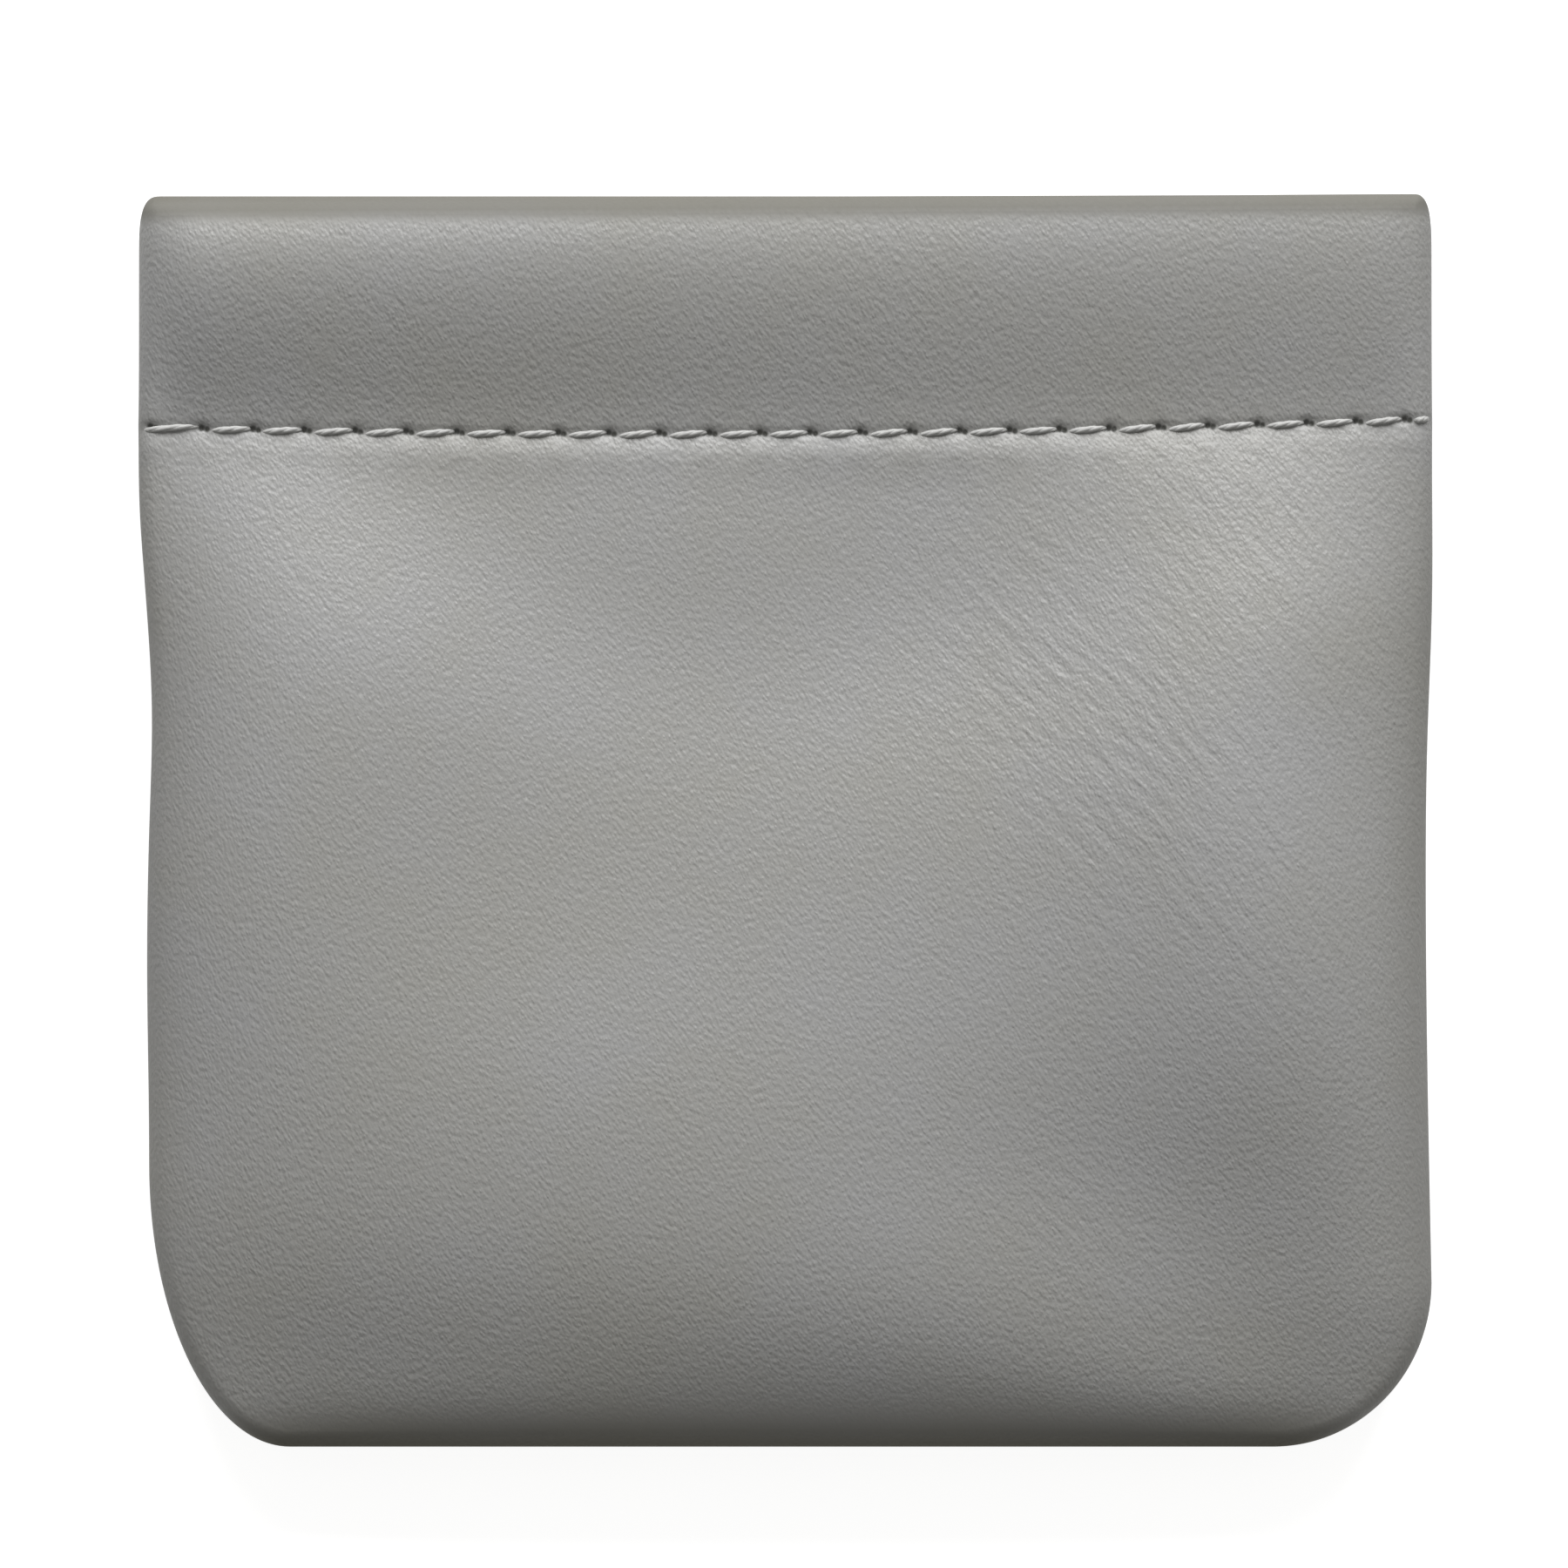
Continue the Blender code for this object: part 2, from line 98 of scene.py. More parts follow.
def edge_width(edge, y):
    """How far the side edge lies from the middle line at height y."""
    corner_y = BOTTOM + edge["corner"][1]
    share = np.clip((y - corner_y) / (STITCH_Y - corner_y), 0, 1)
    reach = HALF_WIDTH - edge["foot"] * (1 - share) - edge["waist"] * np.sin(pi * share)
    for height, length, pull in edge["pulls"]:
        reach = reach - pull * bell(y - height, length)
    low = (*edge["corner"], corner_y - y, 2)
    high = (edge["top_corner"], TOP_CORNER_HEIGHT, y - TOP + TOP_CORNER_HEIGHT, TOP_CORNER_POWER)
    for width, height, past, power in (low, high):
        reach = reach - width * (1 - (1 - np.clip(past / height, 0, 1) ** power) ** (1 / power))
    return reach


def across_share(x, y):
    """The place between the middle line, 0, and the side edges, -1 and 1."""
    width = np.where(x < 0, edge_width(LEFT_EDGE, y), edge_width(RIGHT_EDGE, y))
    return np.clip(x / np.maximum(width, LEAST_WIDTH), -1, 1)


def corner_points(side, corner, turns, up, power=2):
    """Points round a corner about its own centre, where a turn runs from the end to the side."""
    sine, cosine = np.sin(turns) ** (2 / power), np.maximum(np.cos(turns), 0) ** (2 / power)
    return np.stack([side * corner[0] * sine, up * corner[1] * cosine], 1)


def edge_rows(edge, corner_steps, side_steps, levels, top_steps):
    """Points up one side edge with their inward directions, one for each row of a panel's mesh."""
    side, corner = edge["side"], edge["corner"]
    corner_y = BOTTOM + corner[1]
    turns = np.linspace(0, pi / 2, corner_steps + 1)
    low = corner_points(side, corner, turns, -1)
    low += (side * (float(edge_width(edge, corner_y)) - corner[0]), corner_y)
    low_inward = corner_points(-side, (1 / corner[0], 1 / corner[1]), turns, 1)
    low_inward /= np.linalg.norm(low_inward, axis=1)[:, None]
    y = np.concatenate([np.linspace(corner_y, levels[0], side_steps + 1)[1:-1], levels])
    straight = np.stack([side * edge_width(edge, y), y], 1)
    straight_inward = np.tile([-side, 0.0], (len(y), 1))
    turns = np.linspace(pi / 2, 0, top_steps + 1)
    high = corner_points(side, (edge["top_corner"], TOP_CORNER_HEIGHT), turns, 1, TOP_CORNER_POWER)
    high += (side * (HALF_WIDTH - edge["top_corner"]), TOP - TOP_CORNER_HEIGHT)
    high_inward = corner_points(-side, (1.0, 1.0), turns, -1, TOP_CORNER_POWER)
    inward = np.concatenate([low_inward, straight_inward, high_inward])
    return np.concatenate([low, straight, high]), inward


def panel_rows(coarse):
    """Both side edges, row by row, with close rows at the hem's stitches."""
    hem = np.arange(STITCH_Y + HEM_ROWS_FROM, STITCH_Y + HEM_ROWS_TO, HEM_ROW_STEP * coarse)
    band = np.linspace(hem[-1], TOP - TOP_CORNER_HEIGHT, round(BAND_ROWS / coarse) + 1)[1:-1]
    levels = np.concatenate([hem, band])
    steps = (round(CORNER_ROWS / coarse), round(SIDE_ROWS / coarse), levels, round(TOP_ROWS / coarse))
    return edge_rows(LEFT_EDGE, *steps), edge_rows(RIGHT_EDGE, *steps)


def sag_at(x, y):
    """The hem's stitches dip towards the middle, the hem is a little askew, and the leather follows."""
    up = (y - BOTTOM) / (STITCH_Y - BOTTOM)
    near = np.where(y < STITCH_Y, up, (TOP - y) / STITCH_DEPTH)
    askew = HEM_TILT * x * np.clip(up, 0, 1) ** 2
    return STITCH_SAG * np.clip(1 - (x / HALF_WIDTH) ** 2, 0, 1) * np.clip(near, 0, 1) - askew


# What the pouch holds swells the belly, low down and in two cheeks. The hem stands up over its spring
# strip, more to the left than to the right, and the table presses the back nearly flat.
BELLY_RISE = 6.5 * MM
BELLY_PEAK = 0.3
BELLY_SIDE_POWER = 4.2
BELLY_LOW_POWER = 3.65
BELLY_HIGH_POWER = 2.0
BAND_RISE = 1.6043 * MM
BAND_LOOSENESS = (0.36 * MM, -0.75 * MM)
BAND_LOW_POWER = 1.33
BAND_HIGH_POWER = 0.55
BAND_EDGE = 6.0 * MM
BACK_FLATTENING = 1.7

# Middle x and y, direction in degrees, reach along it, reach across it and rise, in millimetres
SOFT_FOLDS = {
    "right cheek": (46.0, -10.0, 110, 34.0, 15.5, 3.55),
    "left cheek": (-46.5, 2.5, 81, 34.0, 16.0, 2.5),
    "high hollow": (10.5, 17.0, 7, 27.0, 13.5, -1.9),
    "shoulder hollow": (-34.0, 28.0, -31, 34.0, 10.5, -1.1),
    "middle hollow": (-9.0, -5.0, -4, 34.0, 16.0, -1.3),
    "right trough": (34.5, -38.0, 151, 26.0, 14.0, -2.0),
    "left trough": (-34.0, -46.0, 1, 34.0, 12.5, -1.0),
    "right shoulder": (46.0, 17.5, 5, 14.0, 10.0, 1.1),
}
FOLD_SIDE_POWER = 8
FOLD_FROM_BOTTOM = 6.0 * MM
FOLD_FROM_STITCHES = 3.0 * MM


def belly_swell(across, y):
    up = (y - BOTTOM) / (STITCH_Y - BOTTOM)
    low = 1 - np.clip(1 - up / BELLY_PEAK, 0, 1) ** BELLY_LOW_POWER
    high = 1 - np.clip((up - BELLY_PEAK) / (1 - BELLY_PEAK), 0, 1) ** BELLY_HIGH_POWER
    return BELLY_RISE * (1 - np.abs(across) ** BELLY_SIDE_POWER) * np.minimum(low, high)


def band_swell(across, y, loose=0.0):
    from_side = np.clip((1 - np.abs(across)) * HALF_WIDTH / BAND_EDGE, 0, 1)
    up = np.clip((y - STITCH_Y) / STITCH_DEPTH, 0, 1)
    crest = BAND_LOW_POWER / (BAND_LOW_POWER + BAND_HIGH_POWER)
    rise = (up / crest) ** BAND_LOW_POWER * ((1 - up) / (1 - crest)) ** BAND_HIGH_POWER
    return (BAND_RISE + loose) * (1 - (1 - from_side) ** 2) * rise


def soft_folds(x, y, across):
    height = np.zeros_like(x)
    for middle_x, middle_y, direction, length, width, rise in SOFT_FOLDS.values():
        turn, from_x, from_y = radians(direction), x / MM - middle_x, y / MM - middle_y
        along = from_x * cos(turn) + from_y * sin(turn)
        aside = from_y * cos(turn) - from_x * sin(turn)
        height = height + rise * MM * bell(along, length) * bell(aside, width)
    side_fade = 1 - np.abs(across) ** FOLD_SIDE_POWER
    bottom_fade = 1 - bell(y - BOTTOM, FOLD_FROM_BOTTOM)
    return height * (side_fade * bottom_fade * (1 - bell(STITCH_Y - y, FOLD_FROM_STITCHES)))


def front_swell(x, y):
    across = across_share(x, y)
    belly = belly_swell(across, y) + soft_folds(x, y, across)
    loose = BAND_LOOSENESS[0] + BAND_LOOSENESS[1] * across
    return np.where(y < STITCH_Y, belly, band_swell(across, y, loose))


def back_swell(x, y):
    across = across_share(x, y)
    share = np.clip(belly_swell(across, y) / (BACK_FLATTENING * BAND_RISE), 0, 1)
    return np.where(y < STITCH_Y, BAND_RISE * (1 - (1 - share) ** 2), band_swell(across, y))


# The needle thread presses a furrow into the hem and dips into its holes, and the leather puckers beside
# them. The bobbin thread presses a furrow into the inside of the hem.
STITCH_PITCH = 4.256 * MM
STITCH_DRIFT = 0.004 * MM
MIDDLE_HOLE = 2.05 * MM
FURROW = 0.17 * MM
FURROW_ABOVE = 0.36 * MM
FURROW_BELOW = 1.3 * MM
HOLE_DEPTH = 0.35 * MM
HOLE_REACH = 0.35 * MM
HOLE_ABOVE_ROW = 0.15 * MM
PUCKER = 0.07 * MM
PUCKER_ABOVE_SHARE = 0.3
PUCKER_FROM_ROW = 1.6 * MM
PUCKER_REACH = 1.0 * MM
BOBBIN_FURROW = 0.35 * MM
BOBBIN_FURROW_REACH = 0.45 * MM


def hole_at(number):
    """Where a needle hole is. The stitches get a little shorter from left to right."""
    return MIDDLE_HOLE + STITCH_PITCH * number - STITCH_DRIFT * number**2


def hole_number(x):
    """The number of the needle hole at x, with a fraction between two holes."""
    number = (x - MIDDLE_HOLE) / STITCH_PITCH
    return number + STITCH_DRIFT / STITCH_PITCH * number**2


def stitch_relief(x, y):
    """How far the needle thread presses the leather down or lets it pucker up."""
    above = y - STITCH_Y
    number = hole_number(x)
    from_hole = (number - np.round(number)) * STITCH_PITCH
    hole = HOLE_DEPTH * bell(np.hypot(from_hole, above - HOLE_ABOVE_ROW), HOLE_REACH)
    at_hole = np.cos(pi * from_hole / STITCH_PITCH) ** 2
    pucker = PUCKER * at_hole * np.where(above < 0, 1.0, PUCKER_ABOVE_SHARE)
    pucker = pucker * bell(np.abs(above) - PUCKER_FROM_ROW, PUCKER_REACH)
    return pucker - hole - FURROW * bell(above, np.where(above < 0, FURROW_BELOW, FURROW_ABOVE))


# Painted shade and wear beside an edge: how strong, and how far in it reaches. The sides get less of both
# beside the band.
LEFT_SHADE_AND_WEAR, RIGHT_SHADE_AND_WEAR, SIDE_SHADE_AND_WEAR_REACH = 0.20, 0.28, 3.3 * MM
BAND_SHADE_AND_WEAR_SHARE, BAND_SHADE_AND_WEAR_FADE = 0.2, 16 * MM
SIDE_LINE, SIDE_LINE_REACH = 0.12, 0.4 * MM
BOTTOM_SHADE_AND_WEAR, BOTTOM_SHADE_AND_WEAR_REACH = 0.78, 2.9 * MM
BOTTOM_LINE, BOTTOM_LINE_REACH = 0.2, 0.6 * MM
MOUTH_SHADE_AND_WEAR, MOUTH_SHADE_AND_WEAR_START, MOUTH_SHADE_AND_WEAR_REACH = 0.70, 1.0 * MM, 1.1 * MM
MOUTH_LINE, MOUTH_LINE_REACH = 0.09, 0.35 * MM


def rubbed(x, y):
    """Painted shade and worn grain near the edges: most along the bottom and mouth, least at the sides."""
    from_side = (1 - np.abs(across_share(x, y))) * HALF_WIDTH
    below_hem = np.clip((STITCH_Y - y) / BAND_SHADE_AND_WEAR_FADE, 0, 1)
    side = np.where(x < 0, LEFT_SHADE_AND_WEAR, RIGHT_SHADE_AND_WEAR) * bell(from_side, SIDE_SHADE_AND_WEAR_REACH)
    side = side * (BAND_SHADE_AND_WEAR_SHARE + (1 - BAND_SHADE_AND_WEAR_SHARE) * below_hem)
    side += SIDE_LINE * bell(from_side, SIDE_LINE_REACH)
    bottom = BOTTOM_SHADE_AND_WEAR * bell(y - BOTTOM, BOTTOM_SHADE_AND_WEAR_REACH)
    bottom += BOTTOM_LINE * bell(y - BOTTOM, BOTTOM_LINE_REACH)
    mouth = MOUTH_SHADE_AND_WEAR * bell(np.maximum(TOP - y - MOUTH_SHADE_AND_WEAR_START, 0), MOUTH_SHADE_AND_WEAR_REACH)
    mouth += MOUTH_LINE * bell(TOP - y, MOUTH_LINE_REACH)
    return np.maximum(side, np.maximum(bottom, mouth))


# Middle x and y, reach along them, reach across them, in millimetres, and strength
CREASES = (
    (30.0, 5.0, 26.0, 13.0, 1.0),
    (41.0, 21.0, 20.0, 14.0, 0.8),
    (9.0, 43.0, 12.0, 13.0, 0.45),
    (26.0, -36.0, 18.0, 8.0, 0.4),
    (-36.0, 42.0, 10.0, 12.0, 0.4),
    (-41.0, 15.0, 12.0, 12.0, 0.3),
)
CREASE_DIRECTION = radians(-44)
CREASE_BOW = 0.006 / MM
CREASE_BOW_START = 20 * MM


def along_creases(x, y):
    """Places measured along the creases and across them, where they steepen a little to the right."""
    along = x * cos(CREASE_DIRECTION) + y * sin(CREASE_DIRECTION)
    aside = y * cos(CREASE_DIRECTION) - x * sin(CREASE_DIRECTION)
    return along, aside + CREASE_BOW * np.maximum(x - CREASE_BOW_START, 0) ** 2


def creased(x, y):
    """How strong the creases are at each place."""
    along, aside = along_creases(x, y)
    strength = np.zeros_like(x)
    for middle_x, middle_y, length, width, most in CREASES:
        middle = along_creases(middle_x * MM, middle_y * MM)
        there = bell(along - middle[0], length * MM) * bell(aside - middle[1], width * MM)
        strength = np.maximum(strength, most * there)
    return strength


LEATHER = 1.0 * MM
INNER_FACE = 0.15 * MM
FOLD_RADIUS = 1.5 * MM
EDGE_RISE = INNER_FACE + 2 * FOLD_RADIUS
SEAM_ALLOWANCE = 5.5 * MM
HEM_Y = 30.2 * MM

# Columns of points across a panel, points round its roll, and rows of points over the part turned
# inside, as shares of the way to its raw edge, which are close where the bobbin thread lies
COLUMNS = 270
ROLL_POINTS, FEWEST_ROLL_POINTS = 13, 7
TURNED_ROWS = (0.12, 0.25, 0.4, 0.55, 0.68, 0.76)
BOBBIN_ROWS_FROM, BOBBIN_ROWS_TO, BOBBIN_ROWS = 0.79, 0.88, 14
RAW_EDGE_ROWS = (0.91, 0.95, 1.0)


def panel_plane(coarse, inset):
    """Where a panel's mesh lies on the plane between the halves, as rows and columns, and its outline."""
    (left, left_inward), (right, right_inward) = panel_rows(coarse)
    shares = np.linspace(0, 1, round(COLUMNS / coarse) + 1)[:, None]
    start, end = left + left_inward * inset, right + right_inward * inset
    plane = start[:, None, :] + (end - start)[:, None, :] * shares[None, :, :]
    bottom, top = left[0] + (right[0] - left[0]) * shares, left[-1] + (right[-1] - left[-1]) * shares
    outline = np.concatenate([bottom[:-1], right[:-1], top[:0:-1], left[:0:-1]])
    up, down = np.tile([0.0, 1.0], (len(shares) - 1, 1)), np.tile([0.0, -1.0], (len(shares) - 1, 1))
    return plane, outline, np.concatenate([up, right_inward[:-1], down, left_inward[:0:-1]])


def grid_numbers(rows, columns):
    """The quads of a grid of points, and the numbers of its outermost points, once round."""
    number = np.arange(rows * columns).reshape(rows, columns)
    corners = (number[:-1, :-1], number[:-1, 1:], number[1:, 1:], number[1:, :-1])
    rim = np.concatenate([number[0, :-1], number[:-1, -1], number[-1, :0:-1], number[:0:-1, 0]])
    return np.stack([corner.ravel() for corner in corners], 1), rim


def select_alone(*pieces):
    """Selects these pieces and nothing else, and makes the last one active."""
    for other in bpy.context.selected_objects:
        other.select_set(False)
    for piece in pieces:
        piece.select_set(True)
        bpy.context.view_layer.objects.active = piece


def apply_modifiers(piece):
    """Makes a piece's modifiers part of its mesh."""
    select_alone(piece)
    for modifier in list(piece.modifiers):
        bpy.ops.object.modifier_apply(modifier=modifier.name)


def cloth_or_leather(name, points, faces, facing, thickness, **kept):
    """One face of a sheet, with values kept for its material, given its thickness away from the outside."""
    mesh = bpy.data.meshes.new(name)
    mesh.from_pydata(points.tolist(), [], (faces if facing > 0 else faces[:, ::-1]).tolist())
    for kept_name, values in kept.items():
        kind, field = ("FLOAT_VECTOR", "vector") if values.ndim == 2 else ("FLOAT", "value")
        layer = mesh.attributes.new(kept_name, kind, "POINT")
        layer.data.foreach_set(field, values.astype(np.float32).ravel())
    mesh.shade_smooth()
    made = bpy.data.objects.new(name, mesh)
    bpy.context.scene.collection.objects.link(made)
    shell = made.modifiers.new("thickness", "SOLIDIFY")
    shell.thickness = thickness
    shell.offset = -1.0
    shell.use_even_offset = True
    shell.use_quality_normals = True
    apply_modifiers(made)
    return made


def leather_panel(name, facing, coarse, swell):
    """The wall, then rings of points round its rim for the roll and the allowance turned inside."""
    plane, outline, inward = panel_plane(coarse, FOLD_RADIUS)
    points, cut_place = [], []

    def add_points(x, y, sag, rise):
        points.append(np.stack([x, y - sag, SEAM_Z + facing * rise], 1))
        cut_place.append(np.stack([x, y, facing * rise], 1))

    x, y = plane[..., 0].ravel(), plane[..., 1].ravel()
    add_points(x, y, sag_at(x, y), EDGE_RISE + swell(x, y) + stitch_relief(x, y))

    # The upper part of the roll moves with the wall, and its lower half is held by the seam
    for turn in np.linspace(0, pi, max(FEWEST_ROLL_POINTS, round(ROLL_POINTS / coarse)))[1:]:
        x, y = (outline + inward * FOLD_RADIUS * (1 - sin(turn))).T
        held = min(1.0, max(0.0, 2 * cos(turn)))
        rise = INNER_FACE + FOLD_RADIUS * (1 + cos(turn)) + held * (swell(x, y) + stitch_relief(x, y))
        add_points(x, y, held * sag_at(x, y), rise)

    turned = outline + inward * FOLD_RADIUS
    raw_x = outline[:, 0] * (HALF_WIDTH - SEAM_ALLOWANCE) / HALF_WIDTH
    raw_height = HEM_Y - BOTTOM - SEAM_ALLOWANCE
    raw_y = BOTTOM + SEAM_ALLOWANCE + (outline[:, 1] - BOTTOM) * raw_height / (TOP - BOTTOM)
    raw = np.stack([raw_x, raw_y], 1)
    bobbin_rows = np.linspace(BOBBIN_ROWS_FROM, BOBBIN_ROWS_TO, round(BOBBIN_ROWS / coarse))
    for share in (*TURNED_ROWS, *bobbin_rows, *RAW_EDGE_ROWS):
        x, y = (turned + (raw - turned) * share).T
        row_y = STITCH_Y - sag_at(x, np.full(len(x), STITCH_Y))
        add_points(x, y, 0.0, INNER_FACE + BOBBIN_FURROW * bell(y - row_y, BOBBIN_FURROW_REACH))

    quads, upper = grid_numbers(*plane.shape[:2])
    faces, first = [quads], len(points[0])
    for ring in points[1:]:
        lower = np.arange(first, first + len(ring))
        faces.append(np.stack([upper, lower, np.roll(lower, -1), np.roll(upper, -1)], 1))
        upper, first = lower, first + len(ring)
    place = np.concatenate(cut_place)
    x, y = place[:, 0], place[:, 1]
    kept = {"cut_place": place, "crease_place": np.stack([*along_creases(x, y), place[:, 2]], 1)}
    kept["hem_place"] = np.stack([hole_number(x) * STITCH_PITCH, y - STITCH_Y, np.zeros(len(x))], 1)
    kept.update(creased=creased(x, y), rubbed=rubbed(x, y))
    return cloth_or_leather(name, np.concatenate(points), np.concatenate(faces), facing, LEATHER, **kept)


def new_material(name):
    """A material, its nodes and the shader that they feed."""
    made = bpy.data.materials.new(name)
    made.use_nodes = True
    return made, made.node_tree, made.node_tree.nodes["Principled BSDF"]


def node(tree, kind, links=(), **values):
    """A material node with these settings and inputs, linked from (output socket, input name) pairs."""
    made = tree.nodes.new(kind)
    for name, value in values.items():
        if hasattr(made, name):
            setattr(made, name, value)
        else:
            made.inputs[name.replace("_", " ")].default_value = value
    for source, target in links:
        tree.links.new(source, made.inputs[target])
    return made


def worked_out(tree, operation, *values):
    """The result of one step of arithmetic on output sockets and plain numbers."""
    made = node(tree, "ShaderNodeMath", operation=operation)
    for number, value in enumerate(values):
        if isinstance(value, float):
            made.inputs[number].default_value = value
        else:
            tree.links.new(value, made.inputs[number])
    return made.outputs["Value"]


def kept_value(tree, name, output="Vector"):
    """What a piece's mesh keeps under this name."""
    return node(tree, "ShaderNodeAttribute", attribute_name=name).outputs[output]


def ranged(tree, value, low, high, **limits):
    """A value from 0 to 1, or between other limits, made one from low to high."""
    made = node(tree, "ShaderNodeMapRange", [(value, "Value")], To_Min=low, To_Max=high, **limits)
    return made.outputs["Result"]


def tinted(tree, share, start, first, end, second):
    """The first colour up to the share start, which turns to the second one at end."""
    ramp = node(tree, "ShaderNodeValToRGB", [(share, "Fac")])
    for element, position, colour in zip(ramp.color_ramp.elements, (start, end), (first, second)):
        element.position = position
        element.color = (*colour, 1.0)
    return ramp.outputs["Color"]


def darkened(tree, share, colour, dark):
    """The colour where the share is 0 and the dark one where it is 1."""
    links = [(share, "Factor"), (colour, "A")]
    return node(tree, "ShaderNodeMix", links, data_type="RGBA", B=(*dark, 1.0)).outputs["Result"]


GRAIN_DIRECTION = radians(-71)
GRAIN_STRETCH = 0.57
GRAIN_DEPTH = 0.067 * MM
CREASE_STRETCH = 0.2
CREASE_DEPTH = 0.18 * MM
WARM_GREY = (0.290, 0.287, 0.272)
COOL_GREY = (0.303, 0.303, 0.303)
# The dark grey of the painted shade on the rolls at the edges
PAINTED_EDGE_SHADE = (0.075, 0.070, 0.050)
DULLED_BY_WEAR = 0.4

# Painted shadow in the needle holes, where each stitch goes down, and smaller where the next comes up:
# along the row, above it and radius
HOLE_SHADES = ((0.04 * MM, 0.16 * MM, 0.42 * MM), (0.5 * MM, 0.03 * MM, 0.36 * MM))
HOLE_CORE_SHARE = 0.35
HOLE_SHADOW_PAINT = (0.022, 0.022, 0.017)


def leather_look():
    """Grey coating over a fine round grain, mottled a little, creased in places, worn and given painted
    shade at its edges.
    """
    made, tree, shader = new_material("grey_coated_leather")
    place = kept_value(tree, "cut_place")
    shade_and_wear_mask = kept_value(tree, "rubbed", "Fac")

    # The grain: small pebbles and short steep wrinkles, nearly worn off the edges by handling
    turned = node(tree, "ShaderNodeMapping", [(place, "Vector")], Rotation=(0, 0, -GRAIN_DIRECTION))
    turned_place = [(turned.outputs["Vector"], "Vector")]
    drawn_out = node(tree, "ShaderNodeMapping", turned_place, Scale=(GRAIN_STRETCH, 1.0, 1.0))
    steep = [(drawn_out.outputs["Vector"], "Vector")]
    wrinkle = node(tree, "ShaderNodeTexNoise", steep, Scale=3000.0, Detail=2.0, Roughness=0.6)
    wrinkle = wrinkle.outputs["Fac"]
    pebble = node(tree, "ShaderNodeTexVoronoi", steep, Scale=4000.0, feature="SMOOTH_F1")
    grain = worked_out(tree, "SUBTRACT", wrinkle, pebble.outputs["Distance"])
    grain = worked_out(tree, "MULTIPLY", grain, ranged(tree, shade_and_wear_mask, 1.0, 0.25, From_Min=0.08, From_Max=0.5))
    bump = node(tree, "ShaderNodeBump", [(grain, "Height")], Strength=1.0, Distance=GRAIN_DEPTH)

    # Creases: long lines side by side where the leather has been bent most
    bent = [(kept_value(tree, "crease_place"), "Vector")]
    drawn = node(tree, "ShaderNodeMapping", bent, Scale=(CREASE_STRETCH, 1.0, 1.0)).outputs["Vector"]
    crease = node(tree, "ShaderNodeTexNoise", [(drawn, "Vector")], Scale=1000.0, Detail=2.0)
    depth = worked_out(tree, "MULTIPLY", crease.outputs["Fac"], kept_value(tree, "creased", "Fac"))
    soft = node(tree, "ShaderNodeBump", [(depth, "Height")], Strength=1.0, Distance=CREASE_DEPTH)
    tree.links.new(soft.outputs["Normal"], bump.inputs["Normal"])
    tree.links.new(bump.outputs["Normal"], shader.inputs["Normal"])

    # The grey is mottled, and painted shade darkens the rolls at the seams and the mouth
    mottle = node(tree, "ShaderNodeTexNoise", [(place, "Vector")], Scale=42.0, Detail=7.0, Roughness=0.6)
    grey = tinted(tree, mottle.outputs["Fac"], 0.35, WARM_GREY, 0.65, COOL_GREY)
    shade = darkened(tree, shade_and_wear_mask, grey, PAINTED_EDGE_SHADE)

    # Painted shadow darkens the needle holes, where shade falls into them
    axes = node(tree, "ShaderNodeSeparateXYZ", [(kept_value(tree, "hem_place"), "Vector")])
    for past, above, radius in HOLE_SHADES:
        along = worked_out(tree, "SUBTRACT", axes.outputs["X"], past)
        along = worked_out(tree, "WRAP", along, STITCH_PITCH / 2, -STITCH_PITCH / 2)
        level = worked_out(tree, "SUBTRACT", axes.outputs["Y"], above)
        away = node(tree, "ShaderNodeCombineXYZ", [(along, "X"), (level, "Y")]).outputs["Vector"]
        distance = node(tree, "ShaderNodeVectorMath", [(away, 0)], operation="LENGTH").outputs["Value"]
        limits = {"From_Min": radius * HOLE_CORE_SHARE, "From_Max": radius}
        inside = ranged(tree, distance, 1.0, 0.0, interpolation_type="SMOOTHSTEP", **limits)
        shade = darkened(tree, inside, shade, HOLE_SHADOW_PAINT)
    tree.links.new(shade, shader.inputs["Base Color"])

    dulled = worked_out(tree, "MULTIPLY_ADD", shade_and_wear_mask, DULLED_BY_WEAR, ranged(tree, wrinkle, 0.40, 0.54))
    tree.links.new(dulled, shader.inputs["Roughness"])
    return made


def left_and_right(whole, name):
    """Parts a finished front piece down the middle line, with the whole piece's shading on both parts."""
    parts = []
    for side, word in ((-1, "_left"), (1, "_right")):
        part = whole.copy()
        part.data = whole.data.copy()
        part.name = part.data.name = name + word
        bpy.context.scene.collection.objects.link(part)
        select_alone(part)
        bpy.ops.object.mode_set(mode="EDIT")
        bpy.ops.mesh.select_all(action="SELECT")
        cut = {"plane_co": (0, 0, 0), "plane_no": (side, 0, 0), "threshold": 1e-6}
        bpy.ops.mesh.bisect(**cut, use_fill=True, clear_inner=True)
        bpy.ops.object.mode_set(mode="OBJECT")
        shading = part.modifiers.new("shading", "DATA_TRANSFER")
        shading.object = whole
        shading.use_loop_data = True
        shading.data_types_loops = {"CUSTOM_NORMAL"}
        shading.loop_mapping = "POLYINTERP_NEAREST"
        apply_modifiers(part)
        parts.append(part)
    bpy.data.objects.remove(whole, do_unlink=True)
    return parts


def stay_flat(piece, cad_node):
    """A back piece lies still on the table."""
    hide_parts(cad_node)
    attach(piece, "back_half")


def bow_open(piece, cad_node):
    """A front piece: its CAD part is hidden and its place is made part of its mesh."""
    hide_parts(cad_node)
    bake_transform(piece)


